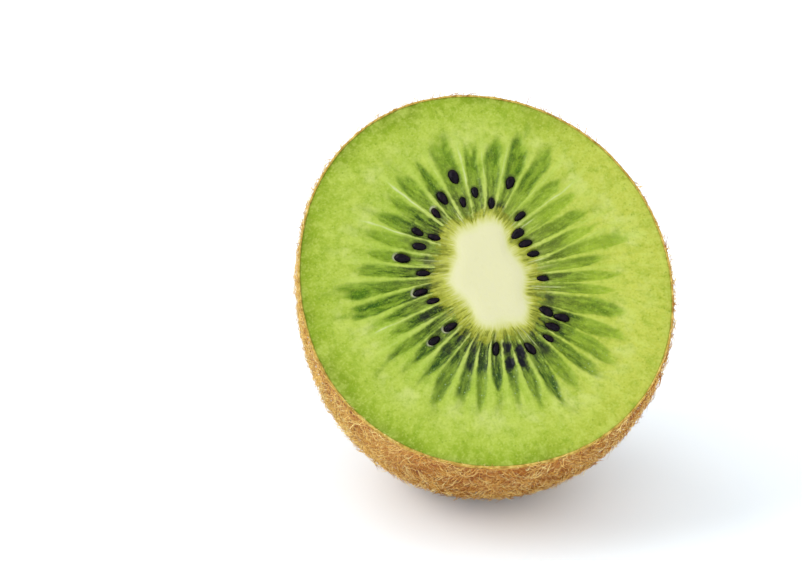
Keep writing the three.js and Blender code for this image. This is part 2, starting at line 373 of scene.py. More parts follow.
# Every chamber runs on as a faint dark streak.
to_middle = np.abs(within - 0.5 + 0.1 * lumps(1.5, 13)) * spacing
tail_end = reach + draw(number + 60, *TAIL_LENGTH)
tail = np.exp(-(to_middle / (0.45 + 0.15 * lumps(1, 17))) ** 2) * smoothstep(size, 13, 16)
tail = TAIL_STRENGTH * tail * (1 - smoothstep(size, tail_end - 2.2, tail_end))
chamber_mask = np.maximum(chamber_mask, tail)

# Pale streaks along the walls, each with a crisp line in it, and fine threads that leave the core.
broad = np.exp(-(to_wall / (0.085 + 0.03 * further_out)) ** 2)
off_line = to_wall * np.where(within < 0.5, 1, -1) + 0.12 * lumps(1.6, 41)
crisp = np.exp(-(off_line / (0.06 + 0.012 * further_out)) ** 2)
streak = shine * (0.6 * broad + 0.4 * crisp * (0.6 + 0.4 * lumps(1.1, 43)))
streak = streak * smoothstep(out_of_core, -0.4, 0.8) * (1 - smoothstep(size, 16.5, 22))
streak = streak * (0.7 + 0.3 * smoothstep(size, 10.5, 13.5))
thread = np.zeros_like(streak)
for side, (low, high) in enumerate(THREAD_PLACES):
    to_thread = np.abs(within - draw(number + 40 * side, low, high)) * spacing
    fades_at = draw(number + 40 * side + 9, *THREAD_ENDS)
    line = np.exp(-(to_thread / THREAD_WIDTH) ** 2) * (1 - smoothstep(size, fades_at - 1, fades_at + 1))
    thread = np.maximum(thread, line * draw(number + 40 * side + 5, *THREAD_SHINE))
streak = np.maximum(streak, 0.8 * thread * smoothstep(out_of_core, -0.3, 0.5))

# Relief: the core stands a little proud, the chambers sink, and grains and seed sockets mark them.
grain = COARSE_GRAIN * lumps(0.42, 50) + FINE_GRAIN * lumps(0.21, 60)
rise = CORE_RISE * (1 - smoothstep(size / core, 0.6, 1.08))
sides = smoothstep(inside, *CHAMBER_SIDE)
z = rise - CHAMBER_DEPTH * sides * smoothstep(out_of_core, 0, CHAMBER_HEAD)
z = z + grain * (0.35 + 0.9 * chamber_mask) * smoothstep(out_of_core, -0.5, 0.8)
z = z + BROAD_WAVES * lumps(0.9, 70) * smoothstep(out_of_core, 1, 6)
bare_z = z
sunk, socket, film = np.zeros((3, *z.shape))
for seed in seeds_of(SEED_ROWS):
    away = round_seed(x, y, seed)
    lip = SOCKET_LIP + SOCKET_LIP * lumps(0.6, 90)
    z = z + lip * np.exp(-((away - 1.15) / 0.25) ** 2) - SOCKET_DEPTH * smoothstep(-away, -1.1, -0.7)
    # The socket mask marks where painted shade will darken the pulp round the seed.
    socket = np.maximum(socket, 1 - smoothstep(away, 0.95, 1.5))
    if seed["chamber"] in FILMED_SEEDS:
        beyond = smoothstep(size - seed["size"], 0.5, 1.0)
        film = np.maximum(film, beyond * np.exp(-((away - 1.06) / 0.12) ** 2))
for seed in seeds_of(SUNK_ROWS):
    away = round_seed(x, y, seed)
    z = z + SUNK_BULGE * (1 - smoothstep(away, 0.3, 1.3))
    blurred = away + 0.3 * lumps(0.5, 80) + 0.2 * lumps(0.22, 85)
    clear = seed["chamber"] in DARK_SHADOWS
    shadow = 1 - smoothstep(blurred, 0.55 if clear else 0.1, 1.3 if clear else 1.45)
    sunk = np.maximum(sunk, shadow if clear else 0.8 * shadow)

# The rim rolls over to meet the skin, and the hidden dome closes the body just inside it.
from_rim = edge - size
z = z - RIM_ROLL * (1 - smoothstep(from_rim, 0, RIM_ROLL_WIDTH))
shrink = 1 - HIDDEN_INSET / (FACE_WIDTH / 2)
hidden_share = np.cos(np.linspace(0, np.pi / 2, HIDDEN_RINGS + 2)[:-1])[:, None]
rim = np.array(ray_point(edge_ray, edge))
hidden_x, hidden_y = rim[:, None, :] * hidden_share[None] * shrink
hidden_z = dome_height(hidden_share) * shrink + 0 * hidden_x


def add_object(name, data):
    thing = bpy.data.objects.new(name, data)
    bpy.context.scene.collection.objects.link(thing)
    return thing


def add_mesh(name, rings, tip_start, tip_end):
    """A closed mesh from rings of points between two poles, given on the lying fruit."""
    count = rings.shape[1]
    points = np.vstack([tip_start, rings.reshape(-1, 3), tip_end])
    first = 1 + np.arange(count)
    after = np.roll(first, -1)
    faces = [np.stack([first, after, after + count, first + count], axis=1) + ring * count
             for ring in range(rings.shape[0] - 1)]
    last = count * (rings.shape[0] - 1)
    start_fan = np.stack([np.zeros(count, int), after, first], axis=1)
    end_fan = np.stack([np.full(count, len(points) - 1), first + last, after + last], axis=1)
    mesh = bpy.data.meshes.new(name)
    mesh.from_pydata(points, [], start_fan.tolist() + np.vstack(faces).tolist() + end_fan.tolist())
    mesh.shade_smooth()
    mesh.transform(LYING)
    return add_object(name, mesh)


def keep_above_table(mesh, height):
    """Presses flat whatever hangs below the table, as the half's own weight does."""
    points = np.zeros(3 * len(mesh.vertices), np.float32)
    mesh.vertices.foreach_get("co", points)
    points[2::3] = np.maximum(points[2::3], height)
    mesh.vertices.foreach_set("co", points)
    mesh.update()


def store(mesh, name, values):
    """Keeps a value for every vertex under a name."""
    mesh.attributes.new(name, "FLOAT", "POINT").data.foreach_set("value", values.astype(np.float32))


top = np.stack([x, y, z], axis=2)
hidden = np.stack([hidden_x, hidden_y, hidden_z], axis=2)
flesh = add_mesh("flesh", np.vstack([top, hidden[1:]]),
                 (*CORE_CENTRE, CORE_RISE), (0, 0, -DOME_DEPTH * shrink))
keep_above_table(flesh.data, ABOVE_TABLE * MM)

# What the material reads: values for the points of the face, and one value for all the points below.
FAR_FROM_CORE = 20
marks = {"core": out_of_core, "chamber": chamber_mask, "deep": deep * chamber_mask, "streak": streak,
         "film": film, "rim": from_rim, "sunk": sunk, "socket": socket}
for name, values in marks.items():
    below = np.full(len(flesh.data.vertices) - 1 - values.size, FAR_FROM_CORE if name == "core" else 0)
    store(flesh.data, name, np.concatenate([[values[0].mean()], values.ravel(), below]))

# Ray coordinates as a UV map: the chamber, and the size of the oval through the point.
HIDDEN_SIZE = 30.0
around = np.concatenate([[0.0], np.tile(chamber, top.shape[0] + hidden.shape[0] - 1), [0.0]])
outward = np.concatenate([[0.0], size.ravel(), np.full(hidden[1:, :, 0].size + 1, HIDDEN_SIZE)])
corners = np.zeros(len(flesh.data.loops), np.int32)
flesh.data.loops.foreach_get("vertex_index", corners)
starts = np.zeros(len(flesh.data.polygons), np.int32)
flesh.data.polygons.foreach_get("loop_start", starts)
lengths = np.diff(np.append(starts, len(corners)))
corner_around = around[corners]
face_of = np.repeat(np.arange(len(starts)), lengths)
face_most = np.maximum.reduceat(corner_around, starts)
crossing = (face_most > CHAMBERS - 1.5)[face_of] & (corner_around < 1)
corner_around = corner_around + CHAMBERS * crossing
places = np.stack([corner_around, outward[corners]], axis=1)
flesh.data.uv_layers.new(name="rays").data.foreach_set("uv", places.astype(np.float32).ravel())


def set_inputs(node, inputs):
    """Feeds a node's inputs, each with a value or from another node's socket."""
    for name, value in inputs.items():
        if isinstance(value, bpy.types.NodeSocket):
            node.id_data.links.new(value, node.inputs[name])
        else:
            node.inputs[name].default_value = value


# From here on, the tree in hand, to which nodes are added, is always called tree.
def feed(kind, inputs=None, **settings):
    """Adds a node to the tree in hand, sets it up, feeds its inputs and gives back its outputs."""
    node = tree.nodes.new(kind)
    for name, value in settings.items():
        setattr(node, name, value)
    set_inputs(node, inputs or {})
    return node.outputs


def work_out(operation, *values):
    return feed("ShaderNodeMath", dict(enumerate(values)), operation=operation)[0]


def times(first, second):
    return work_out("MULTIPLY", first, second)


def minus(first, second):
    return work_out("SUBTRACT", first, second)


def parts_of(vector):
    return feed("ShaderNodeSeparateXYZ", {0: vector})


def vector_of(x, y, z):
    return feed("ShaderNodeCombineXYZ", {0: x, 1: y, 2: z})[0]


def fade(value, low, high, to_low=0.0, to_high=1.0):
    inputs = {"Value": value, "From Min": low, "From Max": high, "To Min": to_low, "To Max": to_high}
    return feed("ShaderNodeMapRange", inputs, interpolation_type="SMOOTHSTEP")[0]


def colour(red, green, blue):
    """A colour as a monitor shows it, from 0 to 255, made linear."""
    values = [c / 255 for c in (red, green, blue)]
    return (*[c / 12.92 if c <= 0.04045 else ((c + 0.055) / 1.055) ** 2.4 for c in values], 1.0)


def blend(share, under, over):
    """Lays one colour over another."""
    return feed("ShaderNodeMix", {0: share, 6: under, 7: over}, data_type="RGBA")[2]


def layered(under, layers):
    """Lays on colours in turn, each where a pattern fades from low to high, and up to a share."""
    for pattern, low, high, share, shade in layers:
        under = blend(fade(pattern, low, high, 0, share), under, colour(*shade))
    return under


def ramp(value, stops):
    """Runs through colours, each with the value at which it is reached."""
    low, high = stops[0][0], stops[-1][0]
    share = feed("ShaderNodeMapRange", {"Value": value, "From Min": low, "From Max": high})[0]
    outputs = feed("ShaderNodeValToRGB", {"Fac": share})
    elements = outputs[0].node.color_ramp.elements
    while len(elements) < len(stops):
        elements.new(1.0)
    for element, (at, shade) in zip(elements, stops):
        element.position = (at - low) / (high - low)
        element.color = colour(*shade)
    return outputs["Color"]


def marked(name):
    return feed("ShaderNodeAttribute", attribute_name=name)["Fac"]


def new_material(name):
    """A material, its node tree and its Principled shader."""
    material = bpy.data.materials.new(name)
    material.use_nodes = True
    return material, material.node_tree, material.node_tree.nodes["Principled BSDF"]


def object_millimetres():
    place = feed("ShaderNodeTexCoord")["Object"]
    return feed("ShaderNodeMapping", {"Vector": place, "Scale": (1 / MM, 1 / MM, 1 / MM)})[0]


def noise(where, size, detail=2.0, rough=0.5):
    inputs = {"Vector": where, "Scale": 1 / size, "Detail": detail, "Roughness": rough}
    return feed("ShaderNodeTexNoise", inputs)["Fac"]


def bumped(height, strength, depth):
    """Low relief too fine for the mesh, its depth in millimetres."""
    return feed("ShaderNodeBump", {"Height": height, "Strength": strength, "Distance": depth * MM})[0]


def new_group(name, kind, inputs, outputs):
    """A node group with named inputs and outputs, and the nodes that stand for them."""
    group = bpy.data.node_groups.new(name, kind)
    for in_out, sockets in (("INPUT", inputs), ("OUTPUT", outputs)):
        for socket, (socket_type, value) in sockets.items():
            made = group.interface.new_socket(socket, in_out=in_out, socket_type=socket_type)
            if value is not None:
                made.default_value = value
    ends = group.nodes.new("NodeGroupInput").outputs, group.nodes.new("NodeGroupOutput").inputs
    return group, *ends


FLOAT, INTEGER, VECTOR = "NodeSocketFloat", "NodeSocketInt", "NodeSocketVector"

# Speckle: dots of uneven size scattered over a surface, for pores, pits, small bright cells and painted
# glints.
speckle_group, taken, given = new_group(
    "speckle", "ShaderNodeTree",
    {"Vector": (VECTOR, None), "Spacing": (FLOAT, 1.0), "Dot": (FLOAT, 0.3), "Scarcity": (FLOAT, 0.0)},
    {"Mask": (FLOAT, None)})
tree = speckle_group
fineness = work_out("DIVIDE", 1.0, taken["Spacing"])
cells = feed("ShaderNodeTexVoronoi", {"Vector": taken["Vector"], "Scale": fineness})
chance = feed("ShaderNodeSeparateColor", {0: cells["Color"]})
dot_reach = times(taken["Dot"], fade(chance[0], 0, 1, 0.5, 1.2))
dot = fade(cells["Distance"], dot_reach, times(dot_reach, 0.45))
present = work_out("GREATER_THAN", chance[1], taken["Scarcity"])
tree.links.new(times(dot, present), given["Mask"])


def speckle(where, spacing, dot, scarcity=0.0):
    inputs = {"Vector": where, "Spacing": spacing, "Dot": dot, "Scarcity": scarcity}
    return feed("ShaderNodeGroup", inputs, node_tree=speckle_group)["Mask"]


material, tree, shader = new_material("kiwi_flesh")
mm = object_millimetres()
across_rays, along_rays, _ = parts_of(feed("ShaderNodeUVMap", uv_map="rays")[0])
round_angle = times(across_rays, 2 * math.pi / CHAMBERS)
round_rays = [times(work_out(wave, round_angle), CHAMBERS / (2 * math.pi))
              for wave in ("SINE", "COSINE")]
wrapped = vector_of(*round_rays, along_rays)


def combed(across, along, detail):
    """Noise drawn out along the rays."""
    where = feed("ShaderNodeMapping", {"Vector": wrapped, "Scale": (across, across, along)})[0]
    return noise(where, 1.0, detail, 0.6)


fibre = combed(3.2, 0.4, 3)
hairline = combed(7.0, 1.1, 2)
wisp = combed(1.1, 0.3, 3)
cloud = noise(mm, 5.0, 3)
patch = noise(mm, 2.2, 2)
mottle = noise(mm, 0.9, 3, 0.6)
fine = noise(mm, 0.3, 2)
finest = noise(mm, 0.17, 2)

# Outer flesh: bright beyond the chambers, mottled, darker green under the skin, yellower to the right.
uneven_rim = work_out("ADD", marked("rim"), fade(cloud, 0.25, 0.75, -1.2, 1.2))
outer = ramp(uneven_rim, [
    (-0.6, (109, 129, 22)), (0.5, (122, 143, 29)), (1.6, (136, 157, 38)),
    (3.4, (152, 171, 56)), (5.4, (161, 177, 67)), (7.5, (157, 175, 64)),
    (11.0, (142, 167, 50)), (13.5, (158, 174, 80)), (16.0, (170, 180, 100))])
side, _, height_on_face = parts_of(mm)
outer = layered(outer, [(side, 1, 20, 0.8, (180, 183, 74))])
band = times(fade(along_rays, 15.5, 18.5), fade(along_rays, 23.0, 19.5))
pale_wisps = times(band, fade(wisp, 0.45, 0.7, 0, 0.7))
outer = blend(pale_wisps, outer, colour(188, 196, 116))
outer = layered(outer, [
    (fibre, 0.5, 0.7, 0.35, (182, 194, 96)), (fibre, 0.5, 0.3, 0.3, (122, 150, 30)),
    (patch, 0.48, 0.7, 0.3, (178, 192, 84)), (patch, 0.5, 0.3, 0.25, (122, 152, 28)),
    (mottle, 0.48, 0.7, 0.3, (177, 191, 85)), (mottle, 0.5, 0.3, 0.35, (118, 147, 26)),
    (fine, 0.5, 0.7, 0.3, (185, 196, 100)), (fine, 0.5, 0.3, 0.2, (111, 139, 24))])
near_rim = fade(marked("rim"), 7, 2, 0.06, 0.35)
dots = times(speckle(mm, 0.55, 0.28, 0.5), near_rim)
outer = blend(dots, outer, colour(90, 117, 22))

# Pale walls, fading into streaks further out.
streaks = times(marked("streak"), fade(fibre, 0.25, 0.6, 0.6, 0.95))

# Chambers: olive near the seeds, fresh dark green further out, streaked along the rays and grainy, with
# painted glints, most of them low on the face.
inner_green = ramp(along_rays, [
    (7.5, (72, 76, 17)), (9.0, (38, 44, 16)), (11.0, (39, 52, 17)),
    (12.8, (50, 78, 10)), (14.5, (55, 90, 6)), (16.5, (55, 93, 3)), (19.0, (68, 106, 6))])
inner_green = layered(inner_green, [
    (fibre, 0.42, 0.7, 0.6, (98, 130, 24)), (hairline, 0.5, 0.34, 0.5, (22, 42, 2)),
    (hairline, 0.5, 0.66, 0.4, (118, 150, 24)), (mottle, 0.5, 0.3, 0.4, (30, 54, 2)),
    (finest, 0.5, 0.34, 0.25, (24, 42, 4)), (finest, 0.5, 0.66, 0.25, (126, 154, 34)),
    (height_on_face, 27, 21, 0.5, (26, 46, 30))])
grains = times(speckle(mm, 0.45, 0.3, 0.55), 0.5)
inner_green = blend(grains, inner_green, colour(132, 156, 60))
around = layered(outer, [(marked("chamber"), 0.1, 0.9, 0.6, (146, 174, 34))])
bright_hairs = times(marked("chamber"), fade(hairline, 0.52, 0.68, 0, 0.35))
around = blend(bright_hairs, around, colour(186, 200, 90))
streaked = fade(fibre, 0.34, 0.66, 1.25, 0.75)
body = blend(times(marked("deep"), streaked), around, inner_green)
pale = blend(fade(marked("core"), 1.0, 4.0), colour(190, 192, 116), colour(168, 187, 82))
pale = layered(pale, [(marked("streak"), 0.3, 0.65, 0.8, (202, 207, 162))])
body = blend(streaks, body, pale)
# Painted glints: small pale specks in the chambers, more of them low on the face, stand in for highlights
# on the moist pulp.
glint_spread = times(fade(height_on_face, 26, 19, 0.12, 1), marked("chamber"))
glints = times(speckle(mm, 0.42, 0.3, 0.45), glint_spread)
body = blend(times(glints, 0.75), body, colour(150, 172, 128))

# Seeds under the surface show as dark shadows, and painted shade darkens the pulp round every seed in its
# socket.
body = blend(times(marked("socket"), 0.5), body, colour(46, 53, 27))
body = blend(marked("sunk"), body, colour(8, 9, 18))
body = blend(times(marked("film"), 0.85), body, colour(186, 186, 152))

# The core and the fibrous, lumpy fringe round it.
outside = fade(marked("core"), -0.9, 0.5)
strung = times(fade(fibre, 0.3, 0.7, 0.5, -0.5), outside)
ragged = work_out("ADD", marked("core"), strung)
ragged = work_out("ADD", ragged, fade(patch, 0.35, 0.65, 0.2, 0.0))
wide = work_out("MAXIMUM", fade(height_on_face, 29, 22, 0, 1), fade(side, -1, -6, 0, 0.8))
wide = times(wide, fade(ragged, 0.2, 1.8))
wide = times(wide, fade(wisp, 0.3, 0.65, 0.3, 1.1))
ragged = minus(ragged, wide)
lumpy = work_out("ADD", ragged, fade(mottle, 0.3, 0.7, 0.6, -0.6))
fringe = ramp(ragged, [
    (-1.2, (204, 201, 160)), (-0.6, (201, 200, 150)), (-0.1, (190, 190, 122)),
    (0.5, (167, 170, 74)), (1.1, (139, 143, 40)), (2.2, (108, 115, 22))])
gold = times(fade(fine, 0.48, 0.66, 0, 0.3), fade(ragged, 0.1, 0.5))
fringe = blend(gold, fringe, colour(183, 186, 68))
shadows = times(fade(patch, 0.52, 0.35, 0, 0.45), fade(ragged, 0.2, 0.9))
fringe = blend(shadows, fringe, colour(98, 105, 24))
lines = times(fade(fibre, 0.5, 0.36, 0, 0.6), fade(ragged, 0.3, 1.0))
fringe = blend(lines, fringe, colour(78, 85, 18))
body = blend(fade(lumpy, 2.3, 1.0), body, fringe)
into_fringe = times(streaks, fade(ragged, 0.2, 1.2, 0, 0.8))
body = blend(into_fringe, body, pale)
height = work_out("ADD", times(fine, 0.6), mottle)
set_inputs(shader, {
    "Base Color": body, "Roughness": fade(mottle, 0.3, 0.7, 0.25, 0.45),
    "Specular IOR Level": 0.12, "Subsurface Weight": 0.2, "Subsurface Radius": (1.0, 1.0, 0.4),
    "Subsurface Scale": 0.2 * MM, "Normal": bumped(height, 0.4, 0.06)})
flesh.data.materials.append(material)
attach(flesh, "root")
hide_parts("kiwi_half")


# --------------------------------------------------
# The skin: thin, papery and brown, tight on the flesh and cut with it, so that its edge shows as a
# tan line round the face. Its shape follows a rule, so geometry nodes make it from the sizes above.
# --------------------------------------------------

SKIN_THICKNESS = 0.24
SKIN_AROUND = 360
SKIN_ALONG = 90
SKIN_LUMPS = 0.12
SKIN_UNDER_FUZZ = 0.45
SKIN_LIP = 0.12
SKIN_RAGGED = 0.22
SCAR_RADIUS = 2.9
SCAR_DENT = 1.2


def grown(name, group, sizes, start=None):
    """Runs a geometry tree on a new object, with its named inputs set."""
    piece = add_object(name, start or bpy.data.meshes.new(name))
    modifier = piece.modifiers.new(group.name, "NODES")
    modifier.node_group = group
    for socket in group.interface.items_tree:
        if socket.in_out == "INPUT" and socket.name in sizes:
            modifier[socket.identifier] = sizes[socket.name]
    return piece


def keep_plain(piece):
    """Turns what the modifiers make into the piece's own mesh and removes them."""
    evaluated = piece.evaluated_get(bpy.context.evaluated_depsgraph_get())
    mesh = bpy.data.meshes.new_from_object(evaluated)
    piece.modifiers.clear()
    piece.data = mesh
    mesh.name = piece.name
    return piece


def scaled(vector, by):
    return feed("ShaderNodeVectorMath", {0: vector, 3: by}, operation="SCALE")["Vector"]


def kept(geometry, name, value):
    """Keeps a value on the geometry under a name."""
    inputs = {"Geometry": geometry, "Name": name, "Value": value}
    return feed("GeometryNodeStoreNamedAttribute", inputs)[0]


def named(name):
    return feed("GeometryNodeInputNamedAttribute", {"Name": name})[0]


def position():
    return feed("GeometryNodeInputPosition")[0]


def made_real(geometry):
    """Turns instances into geometry of their own."""
    return feed("GeometryNodeRealizeInstances", {"Geometry": geometry})[0]


GEOMETRY = {"Geometry": ("NodeSocketGeometry", None)}

# The dome as a surface: a grid wrapped round the axis by the oval, its lobes and the dome's curve.
dome_group, taken, given = new_group(
    "fruit_dome", "GeometryNodeTree",
    {"Around": (INTEGER, 360), "Along": (INTEGER, 90), "Length": (FLOAT, FACE_LENGTH * MM),
     "Width": (FLOAT, FACE_WIDTH * MM), "Lean": (FLOAT, FACE_LEAN), "Depth": (FLOAT, DOME_DEPTH * MM),
     "Fullness": (FLOAT, DOME_FULLNESS), "Scar": (FLOAT, SCAR_RADIUS * MM),
     "Tip": (FLOAT, math.pi / 2 - FACE_CLIMB), "Lift": (VECTOR, LYING.translation)},
    GEOMETRY)
tree = dome_group
grid = feed("GeometryNodeMeshGrid", {0: 1.0, 1: 1.0, 2: taken["Around"], 3: taken["Along"]})
across_grid, along_grid, _ = parts_of(grid[1])
clock = times(across_grid, 2 * math.pi)
turned = minus(clock, taken["Lean"])
squares = [work_out("POWER", work_out("DIVIDE", work_out(wave, turned), taken[side]), 2.0)
           for wave, side in (("COSINE", "Length"), ("SINE", "Width"))]
oval = work_out("DIVIDE", 0.5, work_out("SQRT", work_out("ADD", *squares)))
for count, height, at in FRUIT_LOBES:
    wave = work_out("COSINE", times(count, minus(clock, at)))
    oval = times(oval, work_out("MULTIPLY_ADD", wave, height, 1.0))
share = work_out("COSINE", times(along_grid, math.pi / 2))
reach = times(oval, share)
bulge = minus(1.0, times(share, share))
bulge = work_out("POWER", bulge, work_out("DIVIDE", 1.0, taken["Fullness"]))
drop = times(bulge, taken["Depth"])
dent = fade(reach, 0.0, taken["Scar"], SCAR_DENT * MM, 0.0)
low = minus(dent, drop)
place = vector_of(times(reach, work_out("SINE", clock)), times(reach, work_out("COSINE", clock)), low)
wrapped = kept(grid[0], "down", work_out("DIVIDE", drop, MM))
wrapped = kept(wrapped, "from_axis", work_out("DIVIDE", reach, MM))
wrapped = feed("GeometryNodeSetPosition", {"Geometry": wrapped, "Position": place})[0]
wrapped = feed("GeometryNodeMergeByDistance", {"Geometry": wrapped, "Distance": 0.001 * MM})[0]
tip = feed("FunctionNodeEulerToRotation", {0: vector_of(taken["Tip"], 0.0, 0.0)})[0]
lying = feed("GeometryNodeTransform",
             {"Geometry": wrapped, "Translation": taken["Lift"], "Rotation": tip})[0]
tree.links.new(lying, given["Geometry"])


def moved(geometry, offset):
    return feed("GeometryNodeSetPosition", {"Geometry": geometry, "Offset": offset})[0]


def above_table(geometry, height):
    """Presses flat whatever hangs below the table."""
    x, y, z = parts_of(position())
    pressed = vector_of(x, y, work_out("MAXIMUM", z, height))
    return feed("GeometryNodeSetPosition", {"Geometry": geometry, "Position": pressed})[0]


def finish_tree(geometry, taken, given):
    """Smooths what a tree has made, gives it its material and hands it on."""
    smooth = feed("GeometryNodeSetShadeSmooth", {"Geometry": geometry})[0]
    inputs = {"Geometry": smooth, "Material": taken["Material"]}
    tree.links.new(feed("GeometryNodeSetMaterial", inputs)[0], given["Geometry"])


skin_tree, taken, given = new_group(
    "papery_skin", "GeometryNodeTree",
    {"Around": (INTEGER, SKIN_AROUND), "Along": (INTEGER, SKIN_ALONG),
     "Lumps": (FLOAT, SKIN_LUMPS * MM), "Ragged Edge": (FLOAT, SKIN_RAGGED * MM),
     "Material": ("NodeSocketMaterial", None)},
    GEOMETRY)
tree = skin_tree
dome_sizes = {"Around": taken["Around"], "Along": taken["Along"]}
dome = feed("GeometryNodeGroup", dome_sizes, node_tree=dome_group)[0]
where = scaled(position(), 1 / MM)
lumpy = minus(noise(where, 2.2, 4, 0.6), 0.55)
under_fuzz = fade(named("down"), 0.3, 3.0, -SKIN_LIP * MM, SKIN_UNDER_FUZZ * MM)
lift = minus(times(lumpy, times(taken["Lumps"], 2.0)), under_fuzz)
surface = moved(dome, scaled(feed("GeometryNodeInputNormal")[0], lift))
ragged = minus(noise(where, 1.3, 3, 0.7), 0.4)
up_by = times(times(ragged, fade(named("down"), 0.6, 0.0)), times(taken["Ragged Edge"], 2.0))
face_normal = (LYING.to_3x3() @ Vector((0, 0, 1))).normalized()
surface = moved(surface, scaled(face_normal, up_by))
surface = above_table(surface, 0.0)
finish_tree(made_real(surface), taken, given)

material, tree, shader = new_material("kiwi_skin")
mm = object_millimetres()
cloud = noise(mm, 6.0, 3)
mottle = noise(mm, 0.9, 4, 0.65)
paper = ramp(work_out("ADD", mottle, fade(cloud, 0.3, 0.7, -0.12, 0.12)), [
    (0.25, (112, 56, 20)), (0.42, (164, 98, 40)), (0.55, (198, 138, 66)), (0.75, (226, 182, 108))])
pores = speckle(mm, 0.7, 0.38, 0.2)
paper = blend(times(pores, 0.9), paper, colour(108, 42, 12))
paper = layered(paper, [
    (noise(mm, 3.5, 3, 0.6), 0.54, 0.68, 0.55, (142, 66, 26)),
    (marked("down"), 1.8, 0.6, 0.3, (178, 146, 54))])
cut_edge = fade(marked("down"), 0.6, 0.1)
edge_tan = ramp(mottle, [(0.35, (142, 110, 36)), (0.5, (186, 156, 66)), (0.65, (214, 190, 104))])
paper = blend(times(cut_edge, 0.8), paper, edge_tan)
set_inputs(shader, {
    "Base Color": paper, "Roughness": fade(mottle, 0.3, 0.7, 0.55, 0.8), "Specular IOR Level": 0.2,
    "Normal": bumped(minus(mottle, pores), 0.6, 0.15)})
skin = grown("skin", skin_tree, {"Material": material})
shell = skin.modifiers.new("thickness", "SOLIDIFY")
shell.thickness = SKIN_THICKNESS * MM
shell.offset = -1
keep_plain(skin)
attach(skin, "root")
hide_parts("kiwi_half")


# --------------------------------------------------
# The scar at the end of the fruit: a dry woody ring of cracked plates round a sunken pale disc, grown
# into the skin. It is turned as rings of points and broken up by noise.
# --------------------------------------------------

SCAR_AROUND = 120
SCAR_PLATES = 9
SCAR_RING_HEIGHT = 0.45
SCAR_DISC_DEPTH = 0.5
SCAR_ROOT = 1.4
SCAR_CREST = 2.25
SCAR_ROOT_RINGS = 8
SCAR_ROOT_REACH = (0.3, 3.2)
SCAR_RINGS = 40
SCAR_REACH = (3.3, 0.1)
SCAR_DISC = (1.2, 1.9)
SCAR_CRUST = (0.1, 0.05)
SCAR_TUCK = 0.9

scar_clock = np.arange(SCAR_AROUND) / SCAR_AROUND * 2 * np.pi
root_reach = np.linspace(*SCAR_ROOT_REACH, SCAR_ROOT_RINGS)
scar_reach = np.concatenate([root_reach, np.linspace(*SCAR_REACH, SCAR_RINGS)])[:, None]
showing = (np.arange(len(scar_reach)) >= SCAR_ROOT_RINGS)[:, None]
plates = 0.5 + 0.5 * rough(SCAR_PLATES * scar_clock / np.pi, scar_reach * 0.7, 3)
round_x, round_y = scar_reach * np.sin(scar_clock), scar_reach * np.cos(scar_clock)
cracks = np.abs(rough(round_x / 0.9, round_y / 0.9, 11))
crest = np.exp(-((scar_reach - SCAR_CREST - 0.25 * rough(round_x / 2, round_y / 2, 5)) / 0.5) ** 2)
ring_height = SCAR_RING_HEIGHT * crest * (0.45 + 1.1 * plates) * (0.4 + 0.6 * smoothstep(cracks, 0, 0.25))
disc = SCAR_DISC_DEPTH * (1 - smoothstep(scar_reach, *SCAR_DISC))
crust = SCAR_CRUST[0] * rough(round_x / 0.35, round_y / 0.35, 7)
crust = crust + SCAR_CRUST[1] * rough(round_x / 0.15, round_y / 0.15, 8)
tucked = SCAR_TUCK * smoothstep(scar_reach, 2.7, 3.3)
face_of_scar = -DOME_DEPTH + disc - ring_height + crust * (1 - tucked) + tucked
scar_z = np.where(showing, face_of_scar, -DOME_DEPTH + SCAR_ROOT)
scar_rings = np.stack([round_x, round_y, scar_z], axis=2)
scar = add_mesh("end_scar", scar_rings,
                (0, 0, SCAR_ROOT - DOME_DEPTH), (0, 0, SCAR_DISC_DEPTH - DOME_DEPTH))
disc_share = disc / SCAR_DISC_DEPTH + 0 * round_x
for name, values, last in (("proud", ring_height / SCAR_RING_HEIGHT, 0), ("disc", disc_share, 1)):
    store(scar.data, name, np.concatenate([[0], (values * showing).ravel(), [last]]))

material, tree, shader = new_material("kiwi_scar")
mm = object_millimetres()
mottle = noise(mm, 0.5, 4, 0.7)
bark = ramp(work_out("ADD", mottle, fade(marked("proud"), 0.3, 1.3, -0.1, 0.22)), [
    (0.3, (30, 20, 15)), (0.48, (70, 46, 30)), (0.62, (122, 84, 52)), (0.8, (176, 134, 90))])
on_disc = times(marked("disc"), fade(mottle, 0.35, 0.6, 0.3, 0.9))
bark = blend(on_disc, bark, colour(150, 122, 86))
set_inputs(shader, {
    "Base Color": bark, "Roughness": fade(mottle, 0.3, 0.7, 0.6, 0.85),
    "Normal": bumped(mottle, 0.8, 0.1)})
scar.data.materials.append(material)
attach(scar, "root")


# --------------------------------------------------
# Seeds: small hard drops, glossy and purple-black, half sunk in the floor of their chambers with the
# narrow end towards the core. Geometry nodes set one on each marked place.
# --------------------------------------------------

SEED_HEIGHT = 1.2
SEED_TAPER = 0.35
SEED_TILT = math.radians(9)
SEED_PITS = 0.05
SEED_SINK = (0.0, 0.3)

seeds_at = seeds_of(SEED_ROWS)
seed_places = []
for number, seed in enumerate(seeds_at):
    pulp = bare_z.flat[np.argmin(np.hypot(x - seed["x"], y - seed["y"]))]
    depth = pulp - draw(number + 300, *SEED_SINK)
    seed_places.append((seed["x"] * MM, seed["y"] * MM, depth * MM))
places = bpy.data.meshes.new("seed_places")
places.from_pydata(seed_places, [], [])
for name in ("heading", "growth"):
    store(places, name, np.array([seed[name] for seed in seeds_at]))


def any_number(low, high, seed):
    return feed("FunctionNodeRandomValue", {"Min": low, "Max": high, "Seed": seed})[1]


def any_way(seed):
    """A random vector for each point, up to 1 either way along each axis."""
    inputs = {0: (-1, -1, -1), 1: (1, 1, 1), "Seed": seed}
    return feed("FunctionNodeRandomValue", inputs, data_type="FLOAT_VECTOR")[0]


